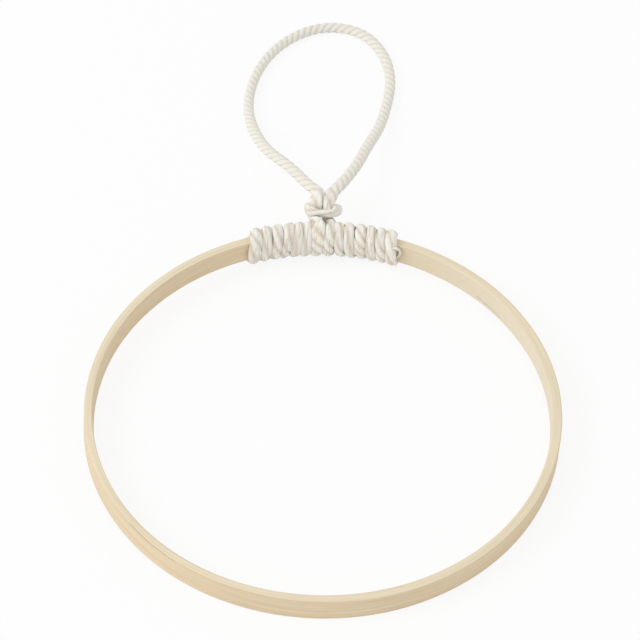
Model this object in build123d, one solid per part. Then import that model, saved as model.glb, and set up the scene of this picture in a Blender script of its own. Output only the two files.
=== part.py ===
"""A bamboo craft ring with a cotton hanging cord, in millimetres.

The ring is one strip of bamboo bent round and glued. It lies flat, with its axis along Z and its centre at
the origin. One cord makes the rest. Its two tails are bound round the far side of the ring, seven strands to
the left of the middle and seven to the right. They come up over the rim into a knot, one strand taken once
round the other, and run out of the knot as a hanging loop. The loop turns about a line across both of its
legs, just outside the knot.
"""

import os
from math import cos, degrees, pi, radians, sin, sqrt, tan

from build123d import *

# Bamboo ring. The rim's edges are eased, and taken right off in facets in the bed of the binding
ring_outer_dia = 150.0
ring_wall = 3.1
ring_height = 8.1
rim_easing = 0.45
bed_sides = 8
bed_overrun = 0.5

# Cord, as it lies in the loop, and drawn thinner where it is bound and knotted
loop_dia = 3.4
bound_dia = 2.9
loop_sides = 6
bound_sides = 5

# Binding of the two tails
full_turns = 6
turn_gap = 0.54
binding_clearance = 0.1
left_neck_offset = 2.6
right_neck_offset = 1.4
left_neck_run = 4.0
right_neck_run = 3.1
right_neck_angle = 30.0
back_end_run = 3.1
tail_drop = 2.6
tail_reach = 1.0
tail_angle = 40.0
tail_run = 3.1

# Hinge line of the loop, out from the ring's outer face and up from its middle, and each leg's place on it
hinge_reach = 18.5
hinge_rise = 4.3
left_leg_offset = 3.5
right_leg_offset = 3.2
leg_clearance = 0.3
leg_tip_run = 1.6
leg_tip_taper = 34.0
left_entry_run = 2.3
right_entry_run = 2.8

# Routes of the cord, from the far point of the ring's outer face at mid-height
wrapping_route = [
    (-3.2, 14.0, 5.7),
    (-4.9, 11.8, 6.0),
    (-5.8, 9.6, 4.4),
    (-4.8, 8.1, 1.6),
    (-1.6, 8.8, -0.6),
    (2.1, 9.5, -0.3),
    (5.6, 7.5, 1.7),
    (5.9, 7.5, 5.7),
    (2.5, 8.3, 8.0),
    (-0.7, 7.3, 7.4),
]
core_route = [
    (0.5, 7.7, 2.6),
    (-0.3, 9.9, 4.7),
    (1.2, 13.0, 5.9),
]
loop_route = [
    (-12.2, 29.6, 3.2),
    (-20.7, 40.4, 0.7),
    (-25.8, 54.2, -3.4),
    (-28.9, 68.1, -6.5),
    (-28.0, 82.5, -7.3),
    (-23.1, 96.3, -7.5),
    (-14.3, 108.6, -7.8),
    (-1.0, 115.4, -8.0),
    (12.5, 114.3, -8.0),
    (20.5, 101.3, -7.7),
    (22.9, 85.9, -7.4),
    (21.1, 72.0, -6.8),
    (18.1, 57.9, -4.4),
    (13.8, 45.0, -0.6),
    (9.3, 30.7, 3.0),
]
arc_share = 0.45
samples_per_dia = 8

# Sizes that follow from the ones above
outer_radius = ring_outer_dia / 2
middle_radius = outer_radius - ring_wall / 2
bend_radius = ring_wall / 2 + binding_clearance + bound_dia / 2
face_half = ring_height / 2 - ring_wall / 2
quarter_length = pi / 2 * bend_radius
turn_length = 4 * quarter_length + 4 * face_half
pitch = (bound_dia + turn_gap) * middle_radius / (middle_radius - bend_radius)
lean = pitch / turn_length
root = Vector(0, outer_radius, 0)
hinge_left = root + Vector(-left_leg_offset, hinge_reach, hinge_rise)
hinge_right = root + Vector(right_leg_offset, hinge_reach, hinge_rise)


def ring_point(arc, out, up):
    """The point an arc length round the ring's middle from +Y, towards +X, and this far out and up from it."""
    turn = arc / middle_radius
    reach = middle_radius + out
    return Vector(reach * sin(turn), reach * cos(turn), up)


def ring_direction(arc, along, out, up):
    """The unit direction with these parts along the ring, out of it and up, at an arc length from +Y."""
    turn = arc / middle_radius
    across = Vector(cos(turn), -sin(turn), 0) * along
    return (across + Vector(sin(turn), cos(turn), 0) * out + Vector(0, 0, up)).normalized()


def biarc(start, start_direction, end, end_direction):
    """Two arcs that leave the start and reach the end in the given directions, with a smooth join between them."""
    chord = end - start
    along = chord.dot(start_direction + end_direction)
    spread = 2 * (1 - start_direction.dot(end_direction))
    handle = (sqrt(along**2 + spread * chord.dot(chord)) - along) / spread
    first = start + start_direction * handle
    second = end - end_direction * handle
    join = (first + second) / 2
    return [Edge.make_tangent_arc(start, start_direction, join), Edge.make_tangent_arc(join, second - first, end)]


def turn_stations(side, neck_offset, count):
    """Points and directions of a tail where it passes the top, the inner face's top and foot, the bottom, and
    the outer face's foot and top, turn after turn, with a dead straight run between a face's two stations."""
    face_run = 2 * face_half
    corners = [
        (0, 0, face_half + bend_radius),
        (quarter_length, -bend_radius, face_half),
        (quarter_length + face_run, -bend_radius, -face_half),
        (2 * quarter_length + face_run, 0, -face_half - bend_radius),
        (3 * quarter_length + face_run, bend_radius, -face_half),
        (3 * quarter_length + 2 * face_run, bend_radius, face_half),
    ]
    places = []
    for number in range(count + 1):
        turn, corner = divmod(number, len(corners))
        run, out, up = corners[corner]
        arc = side * (neck_offset + pitch * (turn + run / turn_length))
        places.append((corner, arc, ring_point(arc, out, up)))
    stations = []
    for number, (corner, arc, point) in enumerate(places[:count]):
        if corner in (1, 4):
            direction = (places[number + 1][2] - point).normalized()
        elif corner in (2, 5):
            direction = stations[-1][2]
        else:
            inward = -1 if corner == 0 else 1
            direction = ring_direction(arc, side * lean, inward, 0)
        stations.append((corner, point, direction))
    return stations


def through_stations(stations):
    """The edges from station to station: a line down or up each face, and a biarc round each half of a rim."""
    edges = []
    for (corner, point, direction), (_, next_point, next_direction) in zip(stations, stations[1:]):
        if corner in (1, 4):
            edges.append(Edge.make_line(point, next_point))
        else:
            edges += biarc(point, direction, next_point, next_direction)
    return edges


def cord_section(path, dia, sides):
    """A faceted section of the cord at the start of its path."""
    return Plane(path @ 0, z_dir=path % 0) * RegularPolygon(dia / 2, sides)


def rounded_route(points):
    """Straight runs joined by tangent arcs, each as large as its two runs allow, and the arcs' radii."""
    radii = []
    for before, corner, after in zip(points, points[1:], points[2:]):
        run_in, run_out = corner - before, after - corner
        turn = radians(run_in.get_angle(run_out))
        radii.append(arc_share * min(run_in.length, run_out.length) / tan(turn / 2))
    return FilletPolyline(*points, radius=radii), radii


def least_gap(path, dia, other=None):
    """The least gap of a tube to itself, past half a turn of its own length, or to another tube of its size."""
    step = dia / samples_per_dia
    count = int(path.length / step)
    points = [path @ (number / count) for number in range(count + 1)]
    if other is None:
        apart = int(pi * bend_radius / step)
        pairs = ((a, b) for number, a in enumerate(points) for b in points[number + apart :])
    else:
        other_count = int(other.length / step)
        others = [other @ (number / other_count) for number in range(other_count + 1)]
        pairs = ((a, b) for a in points for b in others)
    return min((a - b).length for a, b in pairs) - dia


def report_tube(name, path, section, solid, radii):
    """Prints a tube's length, its tightest arc, and its volume over its section times its length."""
    share = solid.volume / (section.area * path.length)
    print(f"{name}: length {path.length:.1f} mm, tightest radius {min(radii):.2f} mm, volume share {share:.4f}")


def bamboo_ring():
    """The strip, with eased edges, and with its rims faceted right over in the bed that the binding covers."""
    turns_and_foot = full_turns + (2 * quarter_length + 2 * face_half) / turn_length
    left_end = left_neck_offset + pitch * turns_and_foot + bound_dia / 2 + bed_overrun
    turns_and_face = full_turns + quarter_length / turn_length
    right_end = right_neck_offset + pitch * turns_and_face + bound_dia / 2 + bed_overrun
    bed_start = 90 - degrees(right_end / middle_radius)
    bed_span = degrees((left_end + right_end) / middle_radius)
    place = Plane.XZ * Pos(middle_radius, 0)
    strip_section = Rectangle(ring_wall, ring_height)
    open_section = place * chamfer(strip_section.vertices(), rim_easing)
    rim = RegularPolygon(ring_wall / 2, bed_sides)
    rims = Pos(0, face_half) * rim + Pos(0, -face_half) * rim
    bed_section = place * make_hull(rims.edges())
    bed = revolve(Rot(0, 0, bed_start) * bed_section, Axis.Z, bed_span)
    strip = revolve(Rot(0, 0, bed_start + bed_span) * open_section, Axis.Z, 360 - bed_span)
    return strip + bed


def left_binding_path():
    """Full turns from the middle to the left, then half a turn more, ending flat on the outer face."""
    stations = turn_stations(-1, left_neck_offset, 6 * full_turns + 5)
    _, first_point, first_direction = stations[0]
    _, last_point, last_direction = stations[-1]
    neck = first_point - first_direction * left_neck_run
    edges = [Edge.make_line(neck, first_point)]
    edges += through_stations(stations)
    edges.append(Edge.make_line(last_point, last_point + last_direction * back_end_run))
    return Wire(edges)


def right_binding_path():
    """From the neck, down against the rim's outer edge, full turns to the right, then a short cut tail."""
    stations = turn_stations(1, right_neck_offset, 6 * full_turns + 2)
    _, first_point, first_direction = stations[0]
    _, last_point, last_direction = stations[-1]
    angle = radians(right_neck_angle)
    rim_point = ring_point(right_neck_offset, bend_radius * sin(angle), face_half + bend_radius * cos(angle))
    rim_direction = ring_direction(right_neck_offset, 0, -cos(angle), sin(angle))
    arc = right_neck_offset + pitch * (full_turns + quarter_length / turn_length)
    tail_point = ring_point(arc + tail_reach, -bend_radius, face_half - tail_drop)
    tail_direction = ring_direction(arc, sin(radians(tail_angle)), 0, -cos(radians(tail_angle)))
    edges = [Edge.make_line(rim_point - rim_direction * right_neck_run, rim_point)]
    edges += biarc(rim_point, rim_direction, first_point, first_direction)
    edges += through_stations(stations)
    edges += biarc(last_point, last_direction, tail_point, tail_direction)
    edges.append(Edge.make_line(tail_point, tail_point + tail_direction * tail_run))
    return Wire(edges)


def leg_stub(hinge, neighbour):
    """Where a knot strand stops, square to the line to its hinge and clear of the round end of the leg."""
    return hinge + (neighbour - hinge).normalized() * (loop_dia / 2 + leg_clearance)


def wrapping_points(binding):
    """The strand from the left leg, down behind the core strand, up its right side and across over the neck."""
    route = [root + Vector(*point) for point in wrapping_route]
    neck = binding @ 0
    entry = neck - (binding % 0) * left_entry_run
    return [leg_stub(hinge_left, route[0]), *route, entry, neck]


def core_points(binding):
    """The strand from the right tail's neck, under the wrapping strand and out over it to the right leg."""
    route = [root + Vector(*point) for point in core_route]
    neck = binding @ 0
    entry = neck - (binding % 0) * right_entry_run
    return [neck, entry, *route, leg_stub(hinge_right, route[-1])]


def hanging_loop(section, path):
    """The loop's cord, with each leg's end tapered about its hinge, clear of the knot as it turns."""
    tube = sweep(section, path, clean=False)
    for end in (path @ 0, path @ 1):
        cut = tube.faces().sort_by_distance(end)[0]
        tube += extrude(cut, leg_tip_run, taper=leg_tip_taper)
    return tube


left_path = left_binding_path()
right_path = right_binding_path()
wrapping_path, wrapping_radii = rounded_route(wrapping_points(left_path))
core_path, core_radii = rounded_route(core_points(right_path))
loop_path, loop_radii = rounded_route([hinge_left, *[root + Vector(*point) for point in loop_route], hinge_right])
loop_section = cord_section(loop_path, loop_dia, loop_sides)

bound_cords = {
    "left_binding": (left_path, [bend_radius]),
    "right_binding": (right_path, [bend_radius]),
    "knot_wrapping_strand": (wrapping_path, wrapping_radii),
    "knot_core_strand": (core_path, core_radii),
}
parts = {"bamboo_ring": bamboo_ring(), "hanging_loop": hanging_loop(loop_section, loop_path)}
report_tube("hanging_loop", loop_path, loop_section, parts["hanging_loop"], loop_radii)
for name, (path, radii) in bound_cords.items():
    section = cord_section(path, bound_dia, bound_sides)
    parts[name] = sweep(section, path, clean=False)
    report_tube(name, path, section, parts[name], radii)
for name in ("left_binding", "right_binding", "knot_wrapping_strand"):
    print(f"least gap of {name} to itself {least_gap(bound_cords[name][0], bound_dia):.2f} mm")
print(f"least gap between the knot's strands {least_gap(wrapping_path, bound_dia, core_path):.2f} mm")

os.makedirs("parts", exist_ok=True)
for name, part in parts.items():
    part.label = name
    export_step(part, f"parts/{name}.step")
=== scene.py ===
"""Looks of a bamboo craft ring with a cotton hanging cord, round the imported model, in metres.

The ring is one strip of bamboo. The cord is one three-strand rope: its left tail is wound round the far side
of the ring, rises as the left neck, goes once round the other strand, runs out as the hanging loop, comes
back through the knot as the right neck, and is wound to the right. It is worked out as one line from end to
end, then cut into three pieces where the loop folds.
"""

import bpy
import numpy as np
from mathutils import Matrix


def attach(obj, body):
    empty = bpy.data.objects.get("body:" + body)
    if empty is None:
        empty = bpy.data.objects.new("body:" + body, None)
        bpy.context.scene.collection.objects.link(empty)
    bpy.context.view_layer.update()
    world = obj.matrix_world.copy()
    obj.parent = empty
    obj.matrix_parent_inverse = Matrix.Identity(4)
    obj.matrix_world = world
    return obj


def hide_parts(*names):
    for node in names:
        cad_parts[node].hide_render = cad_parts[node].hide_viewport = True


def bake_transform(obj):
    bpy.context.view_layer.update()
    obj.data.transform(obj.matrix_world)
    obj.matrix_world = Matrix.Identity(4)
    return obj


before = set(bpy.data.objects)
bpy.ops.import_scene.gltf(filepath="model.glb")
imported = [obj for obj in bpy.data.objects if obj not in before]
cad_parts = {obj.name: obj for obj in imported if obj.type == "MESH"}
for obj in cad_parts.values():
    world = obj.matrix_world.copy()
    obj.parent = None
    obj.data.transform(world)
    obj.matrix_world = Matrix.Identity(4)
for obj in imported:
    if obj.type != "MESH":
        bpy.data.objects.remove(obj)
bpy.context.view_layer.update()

MM = 0.001

# Ring
ring_middle = 73.45 * MM
strip_wall = 3.1 * MM
strip_height = 8.1 * MM
strip_easing = 0.4 * MM
# How far the top of its outer face leans in, and where round the ring, clockwise from the far side
strip_lean = 0.75 * MM
lean_place = np.radians(225)
# How much its wall, height and radius drift, and how many waves each drift has round the ring
wall_drift = 0.02
height_drift = 0.006
radius_drift = 0.12 * MM
drift_waves = (2, 3, 5, 8, 13)
# Its mesh: rows round the ring, points on each eased edge, the step round the section, and the width that the
# map of its faces gives the section's closing edge
strip_rows = 900
corner_points = 9
section_step = 0.3 * MM
closing_edge = 0.4 * MM
# Half the width of a painted shadow line at the strip's joint
joint_line_half_width = 0.16 * MM

# Rope: the radius over its strands, the length in which a strand goes once round, loose and bound, and how
# round each strand is
rope_radius = 1.85 * MM
free_lay = 8.5 * MM
bound_lay = 20 * MM
free_share = 0.71
bound_share = 0.74
line_step = 0.25 * MM
rope_sides = 48
# How much the bound rope's lay wanders, and its waves' lengths in mm
lay_wander = 0.35
lay_waves = (23, 37, 51, 71, 97, 131)
# Neighbours that the moving averages of the line, its facing and its width take in
line_softening = 5
facing_softening = 11
width_softening = 17

# Winding: the half-width and half-height of the cord's path round the strip, where its middle lies, how
# squared it is, and how flat the cord is pressed
line_out = 3.05 * MM
line_up = 5.45 * MM
path_out = 0.25 * MM
path_up = 0.5 * MM
corner_power = 2.25
pressed_flat = 0.8
# Samples of the oval path, steps in a turn, and steps that the average of a turn's place takes in
oval_samples = 721
turn_steps = 240
turn_softening = 41
# Rows of the winding: turns from the neck (0 is the strip's top, 0.25 its inner face, 0.5 its bottom and 0.75
# its outer face), the place along the ring from its middle, and the cord's width there, both in mm
left_places = [
    (0.0, 2.6, 5.6), (0.25, 2.9, 4.9), (0.45, 3.4, 4.6), (0.75, 4.2, 5.0),
    (1.0, 5.9, 3.5), (1.25, 6.6, 3.6),
    (2.0, 8.8, 3.5), (2.25, 10.1, 3.7),
    (3.0, 12.1, 3.6), (3.25, 13.8, 3.5),
    (4.0, 16.0, 3.6), (4.25, 17.2, 3.7), (4.45, 17.6, 3.7),
    (5.0, 19.8, 3.6), (5.25, 20.8, 3.8), (5.45, 21.2, 3.8),
    (6.0, 23.5, 4.0), (6.25, 24.9, 4.6), (6.45, 25.0, 4.4), (6.75, 25.2, 3.6),
]
right_places = [
    (0.0, 1.8, 3.2), (0.25, 0.9, 3.9), (0.45, 0.7, 4.2), (0.75, 2.6, 5.0),
    (1.0, 4.6, 3.4), (1.25, 4.5, 3.5), (1.75, 6.8, 3.9),
    (2.0, 8.0, 3.5), (2.25, 8.0, 3.7),
    (3.0, 11.8, 3.8), (3.25, 11.9, 3.9),
    (4.0, 15.3, 3.6), (4.25, 15.8, 3.7),
    (5.0, 18.7, 3.4), (5.25, 19.4, 3.6), (5.45, 19.6, 3.6),
    (6.0, 22.2, 3.9), (6.25, 23.3, 4.3), (6.44, 23.2, 4.3),
]
# The width above at which the rope is drawn at its own size
bound_width = 3.52 * MM

# Cord's route from neck to neck, in metres from the far point of the ring's outer face at mid-height, and how
# much wider than the loose rope it is pressed there
root = np.array((0, 75 * MM, 0))
knot_middle = root + np.array((-0.0010, 0.0094, 0.0028))
neck_to_neck = np.array([
    (-0.0026, 0.0008, 0.0058, 1.65),
    (-0.0027, 0.0029, 0.0038, 1.60),
    (-0.0032, 0.0055, 0.0014, 1.15),
    (-0.0034, 0.0076, -0.0008, 1.00),
    (-0.0048, 0.0106, -0.0004, 1.00),
    (-0.0059, 0.0110, 0.0030, 1.00),
    (-0.0055, 0.0078, 0.0058, 1.00),
    (-0.0051, 0.0046, 0.0071, 0.80),
    (-0.0022, 0.0039, 0.0074, 0.70),
    (0.0010, 0.0040, 0.0070, 0.70),
    (0.0032, 0.0050, 0.0064, 0.84),
    (0.0040, 0.0080, 0.0052, 1.12),
    (0.0032, 0.0106, 0.0022, 1.00),
    (0.0004, 0.0106, 0.0006, 1.00),
    (-0.0022, 0.0094, 0.0022, 1.15),
    (-0.0034, 0.0086, 0.0052, 1.40),
    (-0.0036, 0.0114, 0.0066, 1.48),
    (-0.0026, 0.0158, 0.0056, 1.25),
    (-0.0058, 0.0190, 0.0045, 1.10),
    (-0.0124, 0.0294, 0.0032, 1.12),
    (-0.0213, 0.0400, 0.0007, 1.15),
    (-0.0264, 0.0540, -0.0034, 1.14),
    (-0.0290, 0.0683, -0.0065, 1.02),
    (-0.0280, 0.0828, -0.0073, 1.00),
    (-0.0234, 0.0967, -0.0075, 1.00),
    (-0.0148, 0.1085, -0.0078, 1.00),
    (-0.0022, 0.1158, -0.0080, 1.00),
    (0.0118, 0.1132, -0.0080, 1.06),
    (0.0203, 0.1010, -0.0077, 1.10),
    (0.0230, 0.0859, -0.0074, 1.05),
    (0.0212, 0.0720, -0.0068, 1.05),
    (0.0184, 0.0579, -0.0044, 1.10),
    (0.0142, 0.0450, -0.0006, 1.12),
    (0.0100, 0.0307, 0.0030, 1.12),
    (0.0050, 0.0206, 0.0045, 1.15),
    (0.0019, 0.0162, 0.0050, 1.25),
    (0.0010, 0.0122, 0.0057, 1.35),
    (0.0003, 0.0086, 0.0052, 1.20),
    (0.0004, 0.0060, 0.0032, 1.00),
    (0.0011, 0.0040, 0.0028, 1.10),
    (0.0018, 0.0016, 0.0048, 1.05),
])
# Where the rope starts to be loose, and the stretch over which it gets so
loose_from = 84 * MM
loose_over = 12 * MM
# Where the loop is a piece of its own
fold_line = 90.0 * MM

# Fibres: their sides and how they narrow, then those of a cut end and of the frayed yarn by the last turn. The
# yarn's route has the place along the ring, the distance out from the strip's middle and the height, in mm
fibre_sides = 5
fibre_taper = 1.001
cut_fibres = 90
cut_fibre_width = 0.2 * MM
cut_depth = 0.7 * MM
cut_reach = 1.25 * MM
yarn_fibres = 26
yarn_fibre_width = 0.3 * MM
yarn_spread = 0.22 * MM
yarn_fray = 0.3 * MM
yarn_route = [
    (23.5, -2.9, 3.6), (24.8, -3.5, 4.8), (26.1, -3.1, 4.2),
    (26.7, -2.5, 2.4), (26.1, -2.3, 0.4), (24.6, -2.6, -0.9),
]

# Table and light: the table's half-width, where its slope starts and ends, its fall over its length, its gap
# below the near rim, how much of it the camera sees as plain white, and the level of the pale world
floor_reach = 8
floor_from = -75 * MM
floor_to = 210 * MM
floor_slope = 0.02156
floor_gap = 0.05 * MM
floor_whiteness = 0.85
sky_level = 0.81


class Out:
    """A node's output. Maths on it, in either order, adds a Math node, and node() adds any other."""

    def __init__(self, tree, socket=None):
        self.tree, self.socket = tree, socket

    def node(self, kind, settings=(), inputs=(), output=0):
        """Adds a node: first its settings, then its sockets' values or links. It gives one of its outputs."""
        made = self.tree.nodes.new(kind)
        for name, value in dict(settings).items():
            setattr(made, name, value)
        for key, value in dict(inputs).items():
            if isinstance(value, Out):
                self.tree.links.new(value.socket, made.inputs[key])
            else:
                made.inputs[key].default_value = value
        return Out(self.tree, made.outputs[output])

    def maths(self, operation, *values, clamped=False):
        settings = {"operation": operation, "use_clamp": clamped}
        return self.node("ShaderNodeMath", settings, enumerate(values))

    def __add__(self, other):
        return self.maths("ADD", self, other)

    def __sub__(self, other):
        return self.maths("SUBTRACT", self, other)

    def __rsub__(self, other):
        return self.maths("SUBTRACT", other, self)

    def __mul__(self, other):
        return self.maths("MULTIPLY", self, other)

    def __truediv__(self, other):
        return self.maths("DIVIDE", self, other)

    def __pow__(self, other):
        return self.maths("POWER", self, other)

    __radd__ = __add__
    __rmul__ = __mul__

    def limited(self):
        """This value held between 0 and 1."""
        return self.maths("ADD", self, 0.0, clamped=True)

    def noise(self, place, scale, detail=3.0, roughness=0.55):
        """Smooth noise from 0 to 1 at this place."""
        inputs = {"Vector": place, "Scale": scale, "Detail": detail, "Roughness": roughness}
        return self.node("ShaderNodeTexNoise", {}, inputs)

    def stretched(self, place, factors):
        """A place with its three parts multiplied."""
        return self.node("ShaderNodeVectorMath", {"operation": "MULTIPLY"}, {0: place, 1: factors})

    def blended(self, share, first, second):
        """A colour between two others: 6 and 7 are the Mix node's colour sockets, and 2 its colour output."""
        colours = [c if isinstance(c, Out) else (*c, 1) for c in (first, second)]
        inputs = {0: share, 6: colours[0], 7: colours[1]}
        return self.node("ShaderNodeMix", {"data_type": "RGBA"}, inputs, 2)

    def shown(self, kind="ShaderNodeOutputMaterial"):
        """Makes this shader the one that its material, or the world, shows."""
        output = self.tree.nodes.new(kind)
        self.tree.links.new(self.socket, output.inputs["Surface"])


def new_material(name):
    """An empty material, and the start of its nodes."""
    material = bpy.data.materials.new(name)
    material.use_nodes = True
    material.node_tree.nodes.clear()
    return material, Out(material.node_tree)


def finished(start, colour, roughness, height, bump, **uniform):
    """The surface shader with its output: colour and roughness vary, and the rest is uniform."""
    normal = start.node("ShaderNodeBump", {}, {"Height": height, "Strength": 1.0, "Distance": bump})
    inputs = {"Base Color": colour, "Roughness": roughness, "Normal": normal}
    inputs |= {name.replace("_", " "): value for name, value in uniform.items()}
    start.node("ShaderNodeBsdfPrincipled", {}, inputs).shown()


def cotton_material():
    """Undyed cotton: cream, paler where it is bound tight, with painted shade, darker and warmer, down between
    the strands, and yarns along the rope, with painted shade in the dark lines between them, that show most
    where it is bound tight."""
    material, start = new_material("undyed cotton")
    attribute = "ShaderNodeAttribute"
    fibre = start.node(attribute, {"attribute_name": "fibre"}, {}, "Vector")
    crown = start.node(attribute, {"attribute_name": "crown"}, {}, "Fac")
    tight = start.node(attribute, {"attribute_name": "tight"}, {}, "Fac")
    place = start.node("ShaderNodeTexCoord", {}, {}, "Object")
    # Fibres are about 0.3 mm wide and 2.4 mm long, and yarns 0.6 mm wide and 5 mm long
    fine = start.noise(start.stretched(fibre, (3600.0, 3600.0, 420.0)), 1.0, 3.0, 0.6)
    yarn = start.noise(start.stretched(fibre, (1600.0, 1600.0, 200.0)), 1.0, 3.0, 0.65)
    tint = start.noise(place, 150.0, 2.0)
    tinted = (tint * 2.0 - 0.5).limited()
    loose_pale = start.blended(tinted, (0.872, 0.832, 0.752), (0.860, 0.854, 0.776))
    bound_pale = start.blended(tinted, (0.975, 0.938, 0.862), (0.962, 0.954, 0.884))
    pale = start.blended(tight, loose_pale, bound_pale)
    # Painted shade: a darker, warmer colour down between the strands, deeper where it is bound tight
    strand_gap_shade = ((1.0 - crown) ** 2.0 * (0.34 + 0.26 * tight)).limited()
    deep = start.blended(strand_gap_shade, pale, (0.66, 0.54, 0.41))
    # Painted shade: dark lines in the low places between the yarns, strongest where it is bound tight
    line = ((0.465 - yarn) * 11.0).limited() * (0.06 + 0.54 * tight)
    yarn_gap_shaded = start.blended(line, deep, (0.60, 0.49, 0.35))
    colour = start.blended((fine * 2.0 - 0.8).limited() * 0.3, yarn_gap_shaded, (0.93, 0.91, 0.87))
    height = yarn * (0.3 + 1.1 * tight) + fine * 0.3
    finished(start, colour, 0.95, height, 0.4 * MM, Specular_IOR_Level=0.15, Sheen_Weight=0.2)
    return material


def seam(start, band, high, facing, begin, end):
    """A thin line of painted shadow at an end of the strip's lap joint on a face, from one place along the
    ring
    and height to another: 1 on it and 0 beside it, fading over the first and last twelfth of its length."""
    along = start.node("ShaderNodeSeparateXYZ", {}, {0: band}, 0)
    share = (along - begin[0]) / (end[0] - begin[0])
    off_line = start.maths("ABSOLUTE", high - begin[1] - share * (end[1] - begin[1]))
    ends = (share * 12.0).limited() * ((1.0 - share) * 12.0).limited()
    return (1.0 - off_line / joint_line_half_width).limited() * ends * facing


def bamboo_material():
    """Sanded bamboo: straw-coloured faces, with painted light making the inner face paler on the right, and a
    paler rim with painted shade on its eased edges, with fine grain and longer streaks round the ring, and a
    dark line of painted shadow at each end of the strip's lap joint."""
    material, start = new_material("sanded bamboo")
    band = start.node("ShaderNodeUVMap", {"uv_map": "band"}, {}, "UV")
    place = start.node("ShaderNodeTexCoord", {}, {}, "Object")
    high = start.node("ShaderNodeSeparateXYZ", {}, {0: place}, 2)
    normal = start.node("ShaderNodeNewGeometry", {}, {}, "Normal")
    product = {"operation": "DOT_PRODUCT"}
    outward = start.node("ShaderNodeVectorMath", product, {0: place, 1: normal}, "Value")
    up = start.node("ShaderNodeSeparateXYZ", {}, {0: normal}, 2)
    across = start.node("ShaderNodeSeparateXYZ", {}, {0: place}, 0)
    rim = (up * 3.5 - 1.9).limited()
    # Painted shade along the eased edges between the rim and the faces
    painted_edge_shade = (1.0 - start.maths("ABSOLUTE", up - 0.35) * 4.0).limited()
    # Grain is about 9 mm long and 0.24 mm wide, streaks 38 mm and 0.9 mm, and patches 36 mm across
    fine = start.noise(start.stretched(band, (110.0, 4200.0, 1.0)), 1.0, 3.0)
    streak = start.noise(start.stretched(band, (26.0, 1100.0, 1.0)), 1.0, 3.0)
    patch = start.noise(place, 28.0, 2.0)
    strong = (streak * 2.2 - 0.6).limited()
    outside, inside = (outward * 40.0).limited(), (outward * -40.0).limited()
    # Painted light: the inner face grows paler towards the right, where it faces the lamp
    painted_light_right = inside * (across / (60 * MM)).limited()
    bare = start.blended(strong, (0.68, 0.53, 0.33), (0.83, 0.685, 0.475))
    face = start.blended(painted_light_right, bare, (0.785, 0.705, 0.555))
    top = start.blended(strong, (0.74, 0.63, 0.435), (0.86, 0.76, 0.565))
    wood = start.blended(painted_edge_shade * 0.3, start.blended(rim, face, top), (0.50, 0.37, 0.22))
    warm = start.blended((patch * 1.6 - 0.5).limited() * 0.3, wood, (0.82, 0.66, 0.48))
    grained = start.blended((fine * 2.6 - 1.1).limited() * 0.4, warm, (0.87, 0.77, 0.59))
    # The strip's lap joint: at each end a dark line of painted shadow under its lifted edge, also sunk in the
    # bump
    outer_seam = seam(start, band, high, outside, (274.5 * MM, 3.35 * MM), (295.5 * MM, 3.85 * MM))
    inner_seam = seam(start, band, high, inside, (56.0 * MM, -2.0 * MM), (69.5 * MM, -2.7 * MM))
    joint_shadow = outer_seam + inner_seam
    colour = start.blended(joint_shadow * 0.6, grained, (0.42, 0.29, 0.17))
    height = fine * 0.5 + streak * 0.5 - joint_shadow * 1.5
    finished(start, colour, 0.5 + 0.2 * fine, height, 0.1 * MM, Specular_IOR_Level=0.35)
    return material


def surface_mesh(name, points, close_along, values):
    """A mesh of a grid of points, rows along the first parameter and closed round the second. Open ends get a
    fan to their middle. values are attributes of the points: plain numbers or vectors."""
    rows, sides = points.shape[:2]
    row, side = np.meshgrid(np.arange(rows if close_along else rows - 1), np.arange(sides), indexing="ij")
    after, next_side = (row + 1) % rows, (side + 1) % sides
    corners = (row * sides + side, row * sides + next_side, after * sides + next_side, after * sides + side)
    quads = np.stack(corners, -1).reshape(-1, 4)
    vertices = points.reshape(-1, 3)
    values = {key: value.reshape(rows * sides, -1) for key, value in values.items()}
    fans = np.zeros((0, 3), int)
    if not close_along:
        vertices = np.concatenate([vertices, points[[0, -1]].mean(1)])
        for key, value in values.items():
            middles = [value[:sides].mean(0)[None], value[-sides:].mean(0)[None]]
            values[key] = np.concatenate([value, *middles])
        edge = np.arange(sides)
        first = np.stack([np.roll(edge, -1), edge, np.full(sides, rows * sides)], -1)
        base = (rows - 1) * sides
        last = np.stack([base + edge, base + np.roll(edge, -1), np.full(sides, rows * sides + 1)], -1)
        fans = np.concatenate([first, last])
    mesh = bpy.data.meshes.new(name)
    mesh.from_pydata(vertices.tolist(), [], quads.tolist() + fans.tolist())
    for key, value in values.items():
        kind, part = ("FLOAT_VECTOR", "vector") if value.shape[1] == 3 else ("FLOAT", "value")
        attribute = mesh.attributes.new(key, kind, "POINT")
        attribute.data.foreach_set(part, value.astype(np.float32).ravel())
    mesh.shade_smooth()
    mesh.update()
    return mesh


def new_piece(name, mesh, material):
    """A mesh object at the origin with its material."""
    piece = bpy.data.objects.new(name, mesh)
    bpy.context.scene.collection.objects.link(piece)
    mesh.materials.append(material)
    return piece


def unit(vectors):
    """Vectors drawn to length 1."""
    return vectors / np.linalg.norm(vectors, axis=-1, keepdims=True)


def evened(line, step, *others):
    """A line's points a step apart along it, and other values of its points at the same places."""
    reach = np.concatenate([[0], np.cumsum(np.linalg.norm(np.diff(line, axis=0), axis=1))])
    places = np.linspace(0, reach[-1], int(reach[-1] / step) + 1)
    taken = [np.stack([np.interp(places, reach, part) for part in value.T], -1) for value in (line, *others)]
    return [places, *taken]


def softened(values, width):
    """A moving average over an odd number of neighbours, with the ends held."""
    half = width // 2
    held = np.concatenate([np.repeat(values[:1], half, 0), values, np.repeat(values[-1:], half, 0)])
    total = np.cumsum(np.concatenate([np.zeros((1, values.shape[1])), held]), 0)
    return (total[width:] - total[:-width]) / width


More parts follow.
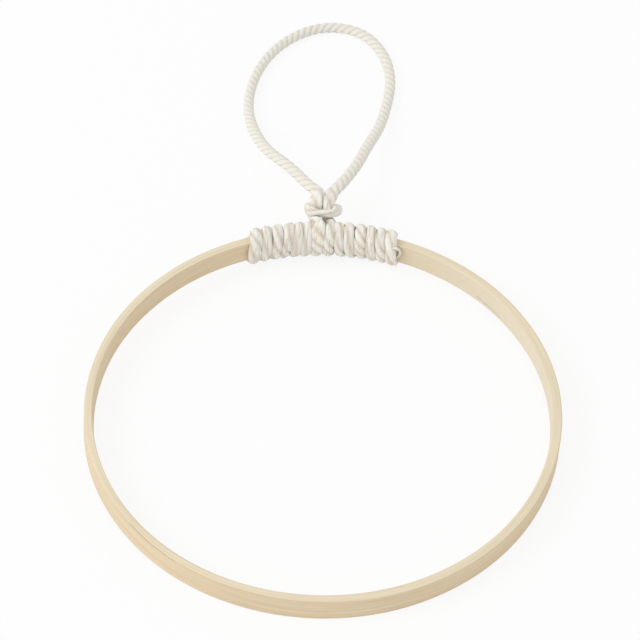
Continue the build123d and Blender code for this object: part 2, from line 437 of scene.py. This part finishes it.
def spline_points(name, points):
    """The points of the smooth curve that has these as its control points."""
    curve = bpy.data.curves.new(name, "CURVE")
    curve.dimensions = "3D"
    spline = curve.splines.new("NURBS")
    spline.points.add(len(points) - 1)
    spline.points.foreach_set("co", np.hstack([points, np.ones((len(points), 1))]).ravel())
    spline.order_u = 3
    spline.use_endpoint_u = True
    spline.resolution_u = curve.resolution_u = 24
    carrier = bpy.data.objects.new(name, curve)
    bpy.context.scene.collection.objects.link(carrier)
    line = bpy.data.meshes.new_from_object(carrier)
    found = np.zeros(len(line.vertices) * 3)
    line.vertices.foreach_get("co", found)
    bpy.data.objects.remove(carrier)
    bpy.data.curves.remove(curve)
    bpy.data.meshes.remove(line)
    return found.reshape(-1, 3)


def winding_line(side, places):
    """The line of a wound tail, its outward directions, and its width. Round the strip it follows a squared
    oval, abs(x/a) to a power plus abs(z/b) to the same power equal to 1, at an even pace from the top, then
    inwards and down. Along the ring it goes from each of its places to the next."""
    angle = np.linspace(0, 2 * np.pi, oval_samples)
    power = 2 / corner_power
    out = -line_out * np.sign(np.sin(angle)) * np.abs(np.sin(angle)) ** power
    up = line_up * np.sign(np.cos(angle)) * np.abs(np.cos(angle)) ** power
    reach = np.concatenate([[0], np.cumsum(np.hypot(np.diff(out), np.diff(up)))])
    stations, arcs, widths = np.array(places).T
    turn = np.arange(0, stations[-1], 1 / turn_steps)
    along = (turn % 1) * reach[-1]
    out_now, up_now = np.interp(along, reach, out), np.interp(along, reach, up)
    facing_out = np.sign(out_now) * np.abs(out_now / line_out) ** (corner_power - 1) / line_out
    facing_up = np.sign(up_now) * np.abs(up_now / line_up) ** (corner_power - 1) / line_up
    arc = softened(np.interp(turn, stations, arcs * MM)[:, None], turn_softening)[:, 0]
    place = side * arc / ring_middle
    radius = ring_middle + path_out + out_now
    line = np.stack([radius * np.sin(place), radius * np.cos(place), path_up + up_now], -1)
    facing = np.stack([facing_out * np.sin(place), facing_out * np.cos(place), facing_up], -1)
    return line, unit(facing), np.interp(turn, stations, widths * MM) / bound_width


def carried(directions, first):
    """A direction carried along a line without twist: each step's least turn, multiplied up by doubling."""
    before, after = directions[:-1], directions[1:]
    axis = np.cross(before, after)
    skew = np.zeros((len(axis), 3, 3))
    skew[:, 0, 1], skew[:, 0, 2], skew[:, 1, 2] = -axis[:, 2], axis[:, 1], -axis[:, 0]
    skew -= skew.transpose(0, 2, 1)
    closeness = np.einsum("ij,ij->i", before, after)[:, None, None]
    steps = np.concatenate([np.eye(3)[None], np.eye(3) + skew + skew @ skew / (1 + closeness)])
    reach = 1
    while reach < len(steps):
        steps[reach:] = steps[reach:] @ steps[:-reach]
        reach *= 2
    return unit(steps @ first)


def rope_surface(line, across, third, facing, wide, high, loose, run):
    """The skin of three strands laid left-handed. At an angle from a strand's crown its radius is
    b cos(angle) + sqrt(a a - b b sin(angle) sin(angle)), the far side of a circle of radius a whose middle is
    b from the line, and the three turn once in each lay, which wanders by a sum of slow waves where the rope
    is bound. It is then drawn wide across its facing direction, and high or flat along it."""
    angle = np.arange(rope_sides) * 2 * np.pi / rope_sides
    local = (angle + np.pi / 3) % (2 * np.pi / 3) - np.pi / 3
    share = (bound_share + (free_share - bound_share) * loose)[:, None]
    radius = rope_radius * (
        (1 - share) * np.cos(local) + np.sqrt(share**2 - ((1 - share) * np.sin(local)) ** 2)
    )
    starts = np.random.default_rng(11).uniform(0, 2 * np.pi, len(lay_waves))
    waves = sum(np.sin(run * 2 * np.pi / (long * MM) + start) for long, start in zip(lay_waves, starts))
    turns = loose / free_lay + (1 - loose) * (1 + lay_wander * waves) / bound_lay
    twist = np.cumsum(2 * np.pi * line_step * turns)
    turned = angle[None] - twist[:, None]
    spread = radius[..., None] * (
        np.cos(turned)[..., None] * across[:, None] + np.sin(turned)[..., None] * third[:, None]
    )
    along_facing = (spread * facing[:, None]).sum(-1, keepdims=True) * facing[:, None]
    points = line[:, None] + spread * wide[:, None, None] + along_facing * (high - wide)[:, None, None]
    along = np.broadcast_to(run[:, None], turned.shape)
    fibre = np.stack([radius * np.cos(turned), radius * np.sin(turned), along], -1)
    crown = np.broadcast_to((1 + np.cos(3 * angle)) / 2, turned.shape)
    tight = np.broadcast_to(1 - loose[:, None], turned.shape)
    return points, fibre, crown, tight


def cord_piece(name, span, whole, material):
    """A stretch of the cord. Its points carry where its fibres lie, how near a strand's crown they are, and
    how tight it is bound."""
    points, fibre, crown, tight = (part[span] for part in whole)
    mesh = surface_mesh(name, points, False, {"fibre": fibre, "crown": crown, "tight": tight})
    return new_piece(name, mesh, material)


def fibres_piece(name, lines, thick, material):
    """Fibres as fine tubes on lines with the same number of points. The radius goes with the square root of
    what is left of the length."""
    count, rows, sides = *lines.shape[:2], fibre_sides
    forward = unit(np.gradient(lines, axis=1))
    side = unit(np.cross(forward, (0.3, 0.5, 0.8)))
    up = np.cross(forward, side)
    angle = np.arange(sides) * 2 * np.pi / sides
    radius = thick / 2 * np.sqrt(fibre_taper - np.linspace(0, 1, rows))[None, :, None, None]
    ring = np.cos(angle)[:, None] * side[:, :, None] + np.sin(angle)[:, None] * up[:, :, None]
    points = (lines[:, :, None] + radius * ring).reshape(-1, 3)
    fibre, row, point = np.meshgrid(np.arange(count), np.arange(rows - 1), np.arange(sides), indexing="ij")
    first = (fibre * rows + row) * sides
    after = (point + 1) % sides
    faces = np.stack([first + point, first + after, first + sides + after, first + sides + point], -1)
    mesh = bpy.data.meshes.new(name)
    mesh.from_pydata(points.tolist(), [], faces.reshape(-1, 4).tolist())
    mesh.attributes.new("crown", "FLOAT", "POINT").data.foreach_set("value", np.ones(len(points), np.float32))
    mesh.shade_smooth()
    return new_piece(name, mesh, material)


def cut_end(line, wide, seed):
    """Lines of cut fibres at a cord's end. Each starts in the end's disc, leaves along the cord and a little
    outwards, and curls to one side by the square of its length."""
    count = cut_fibres
    rng = np.random.default_rng(seed)
    along = unit(line[-1] - line[-5])
    across = unit(np.cross(along, (0, 0, 1)))
    third = np.cross(along, across)
    turn, reach = rng.uniform(0, 2 * np.pi, count), np.sqrt(rng.uniform(0, 1, (count, 1)))
    out = (np.cos(turn)[:, None] * across * wide + np.sin(turn)[:, None] * third) * reach
    length = rng.uniform(0.5, 1.5, (count, 1, 1)) * MM
    step = np.linspace(0, 1, 9)[:, None]
    curl = rng.normal(0, 0.5, (count, 1, 3))
    start = line[-1] - along * cut_depth + out * cut_reach
    return start[:, None] + length * (step * (along + 0.45 * out)[:, None] + step**2 * curl)


def frayed_yarn(seed):
    """Lines of a frayed yarn that sticks out from the last turn on the right and curls down over the strip's
    inner face. Its fibres spread by the square of their length."""
    arc, out, up = np.array(yarn_route).T * MM
    place, radius = arc / ring_middle, ring_middle + out
    line = spline_points("yarn route", np.stack([radius * np.sin(place), radius * np.cos(place), up], -1))
    line = evened(line, line_step)[1]
    rng = np.random.default_rng(seed)
    count, step = yarn_fibres, np.linspace(0, 1, len(line))[None, :, None]
    spread = rng.normal(0, yarn_spread, (count, 1, 3)) * (0.6 + 1.4 * step**2)
    return line[None] + spread + rng.normal(0, yarn_fray, (count, 1, 3)) * step**3


def strip_surface():
    """The bamboo strip: round its section a rectangle with eased edges, carried round the ring, whose radius,
    wall and height drift by small sums of slow waves. At the near left the top of its outer face leans in, by
    the square of (1 + cos(angle from there)) / 2."""
    half_out, half_up = strip_wall / 2 - strip_easing, strip_height / 2 - strip_easing
    bend = np.linspace(0, 2 * np.pi, 4 * corner_points + 1)[:-1].reshape(4, corner_points)
    middles = np.array([(1, 1), (-1, 1), (-1, -1), (1, -1)]) * (half_out, half_up)
    corners = middles[:, None] + strip_easing * np.stack([np.cos(bend), np.sin(bend)], -1)
    outline = corners.reshape(-1, 2)
    edge, section = evened(np.concatenate([outline, outline[:1]]), section_step)
    edge, section = edge[:-1], section[:-1]
    place = np.linspace(0, 2 * np.pi, strip_rows + 1)[:-1, None]
    starts = np.random.default_rng(7).uniform(0, 2 * np.pi, (3, len(drift_waves)))
    drift = [sum(np.sin(k * place + start) / k for k, start in zip(drift_waves, row)) for row in starts]
    out = section[None, :, 0] * (1 + wall_drift * drift[0])
    up = section[None, :, 1] * (1 + height_drift * drift[1])
    leaning = (0.5 + 0.5 * np.cos(place - lean_place)) ** 2
    outer_top = np.clip(section[:, 0] / half_out, 0, 1) * (1 + np.clip(section[:, 1] / half_up, -1, 1)) / 2
    radius = ring_middle + out + radius_drift * drift[2] - strip_lean * leaning * outer_top
    points = np.stack([radius * np.sin(place), radius * np.cos(place), up], -1)
    return points, place[:, 0] * ring_middle, edge


def strip_piece(material):
    """The strip, with a map of its faces in metres: round the ring, then round the section."""
    points, along, edge = strip_surface()
    mesh = surface_mesh("bamboo_strip", points, True, {})
    sides = len(edge)
    whole_along = np.append(along, 2 * np.pi * ring_middle)
    whole_edge = np.append(edge, edge[-1] + closing_edge)
    row, side = np.divmod(np.arange(len(mesh.polygons)), sides)
    corners = [(row, side), (row, side + 1), (row + 1, side + 1), (row + 1, side)]
    band = np.stack([np.stack([whole_along[r], whole_edge[s]], -1) for r, s in corners], 1)
    mesh.uv_layers.new(name="band").data.foreach_set("uv", band.astype(np.float32).ravel())
    return new_piece("bamboo_strip", mesh, material)


def floor_piece():
    """A pale floor that the near rim, the binding and the loop lie on: level before and behind them, and
    between falling evenly by 1.2 degrees."""
    wide, far = np.linspace(-floor_reach, floor_reach, 33), np.linspace(-floor_reach, floor_reach, 1601)
    across, deep = np.meshgrid(wide, far, indexing="ij")
    sloping = np.clip(deep, floor_from, floor_to)
    height = -strip_height / 2 - floor_slope * (sloping - floor_from) - floor_gap
    points = np.stack([across, deep, height], -1)
    rows, columns = points.shape[:2]
    row, column = np.meshgrid(np.arange(rows - 1), np.arange(columns - 1), indexing="ij")
    first = (row * columns + column).ravel()
    faces = np.stack([first, first + columns, first + columns + 1, first + 1], -1)
    mesh = bpy.data.meshes.new("floor")
    mesh.from_pydata(points.reshape(-1, 3).tolist(), [], faces.tolist())
    mesh.shade_smooth()
    material, start = new_material("white table")
    seen = start.node("ShaderNodeLightPath", {}, {}, "Is Camera Ray")
    matt = start.node("ShaderNodeBsdfDiffuse", {}, {"Color": (0.93, 0.93, 0.93, 1)})
    white = start.node("ShaderNodeEmission", {}, {"Color": (1, 1, 1, 1), "Strength": 1.0})
    start.node("ShaderNodeMixShader", {}, {0: seen * floor_whiteness, 1: matt, 2: white}).shown()
    floor = new_piece("floor", mesh, material)


def camera():
    """The photograph's camera: 49 degrees down from in front, with a slight roll."""
    data = bpy.data.cameras.new("camera")
    data.lens, data.sensor_width = 123.75, 36.0
    eye = bpy.data.objects.new("camera", data)
    right = (0.99978, 0.01565, 0.01365)
    up = (-0.02077, 0.75340, 0.65723)
    back = (0.0, -0.65738, 0.75356)
    place = (-1.312 * MM, -432.956 * MM, 539.644 * MM)
    turn = Matrix((right, up, back)).transposed()
    eye.matrix_world = Matrix.Translation(place) @ turn.to_4x4()
    bpy.context.scene.collection.objects.link(eye)
    bpy.context.scene.camera = eye


def lamp(name, place, size, power):
    """A soft square lamp that faces the ring."""
    data = bpy.data.lights.new(name, "AREA")
    data.size, data.energy = size, power
    light = bpy.data.objects.new(name, data)
    back, right = unit(np.array(place)), unit(np.cross((0, 0, 1), place))
    turn = Matrix((right, np.cross(back, right), back)).transposed()
    light.matrix_world = Matrix.Translation(place) @ turn.to_4x4()
    bpy.context.scene.collection.objects.link(light)


def lighting():
    """A pale world that the camera sees as white, and a large soft lamp from the upper left."""
    world = bpy.data.worlds.new("studio")
    bpy.context.scene.world = world
    world.use_nodes = True
    world.node_tree.nodes.clear()
    start = Out(world.node_tree)
    path = "ShaderNodeLightPath"
    seen = start.node(path, {}, {}, "Is Camera Ray") + start.node(path, {}, {}, "Is Glossy Ray")
    seen = (seen + start.node(path, {}, {}, "Is Transmission Ray")).limited()
    strength = sky_level + (1 - sky_level) * seen
    sky = start.node("ShaderNodeBackground", {}, {"Color": (1, 1, 1, 1), "Strength": strength})
    sky.shown("ShaderNodeOutputWorld")
    lamp("left lamp", (-1.2, -0.15, 0.95), size=0.9, power=7.0)


bpy.context.scene.view_settings.view_transform = "Standard"
camera()
cotton, bamboo = cotton_material(), bamboo_material()

left_line, left_facing, left_wide = winding_line(-1, left_places)
right_line, right_facing, right_wide = winding_line(1, right_places)
controls = np.array([left_line[0], *(root + neck_to_neck[:, :3]), right_line[0]])
free_line = spline_points("cord route", controls)
# Each point's place among the control points, and the widths there
place = np.linspace(0.5, len(controls) - 1.5, len(free_line))
route_wide = [left_wide[0] * 1.1, *neck_to_neck[:, 3], right_wide[0]]
free_wide = np.interp(place, np.arange(len(controls)), route_wide)
free_high = free_wide**-0.5
free_loose = np.clip((free_line[:, 1] - loose_from) / loose_over, 0, 1)
upward = free_loose[:, None] * np.array((0, 0, 1.0))
free_facing = unit((1 - free_loose[:, None]) * unit(free_line - knot_middle) + upward)
joined = np.concatenate([left_line[:0:-1], free_line, right_line[1:]])
bound = np.concatenate([left_facing[:0:-1], free_facing, right_facing[1:]])
wide = np.concatenate([left_wide[:0:-1], free_wide, right_wide[1:]])
left_count, right_count = len(left_line) - 1, len(right_line) - 1
high = np.concatenate([np.full(left_count, pressed_flat), free_high, np.full(right_count, pressed_flat)])
loose = np.concatenate([np.zeros(left_count), free_loose, np.zeros(right_count)])
run, line, facing, shape = evened(joined, line_step, bound, np.stack([wide, high, loose], -1))
line, facing = softened(line, line_softening), softened(facing, facing_softening)
wide, high, loose = softened(shape, width_softening).T
directions = unit(np.gradient(line, axis=0))
across = carried(directions, unit(np.cross(directions[0], (0.3, 0.2, 1.0))))
third = np.cross(directions, across)
facing = unit(facing - (facing * directions).sum(-1, keepdims=True) * directions)
whole_cord = rope_surface(line, across, third, facing, wide, high, loose, run)

beyond = np.flatnonzero(line[:, 1] > fold_line)
first_fold, last_fold = beyond[0], beyond[-1]
left_tail = cord_piece("left_tail_cord", slice(0, first_fold + 1), whole_cord, cotton)
loop = cord_piece("loop_cord", slice(first_fold, last_fold + 1), whole_cord, cotton)
right_tail = cord_piece("right_tail_cord", slice(last_fold, None), whole_cord, cotton)
right_end = fibres_piece("right_cut_end", cut_end(line, wide[-1], seed=3), cut_fibre_width, cotton)
left_end = fibres_piece("left_cut_end", cut_end(line[::-1], wide[0], seed=4), cut_fibre_width, cotton)
yarn_end = fibres_piece("frayed_yarn", frayed_yarn(seed=5), yarn_fibre_width, cotton)
strip = strip_piece(bamboo)

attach(strip, "hoop")
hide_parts("bamboo_ring")
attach(left_tail, "hoop")
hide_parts("left_binding", "knot_wrapping_strand")
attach(right_tail, "hoop")
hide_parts("right_binding", "knot_core_strand")
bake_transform(loop)
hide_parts("hanging_loop")
for piece in (left_end, right_end, yarn_end):
    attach(piece, "hoop")

floor_piece()
lighting()
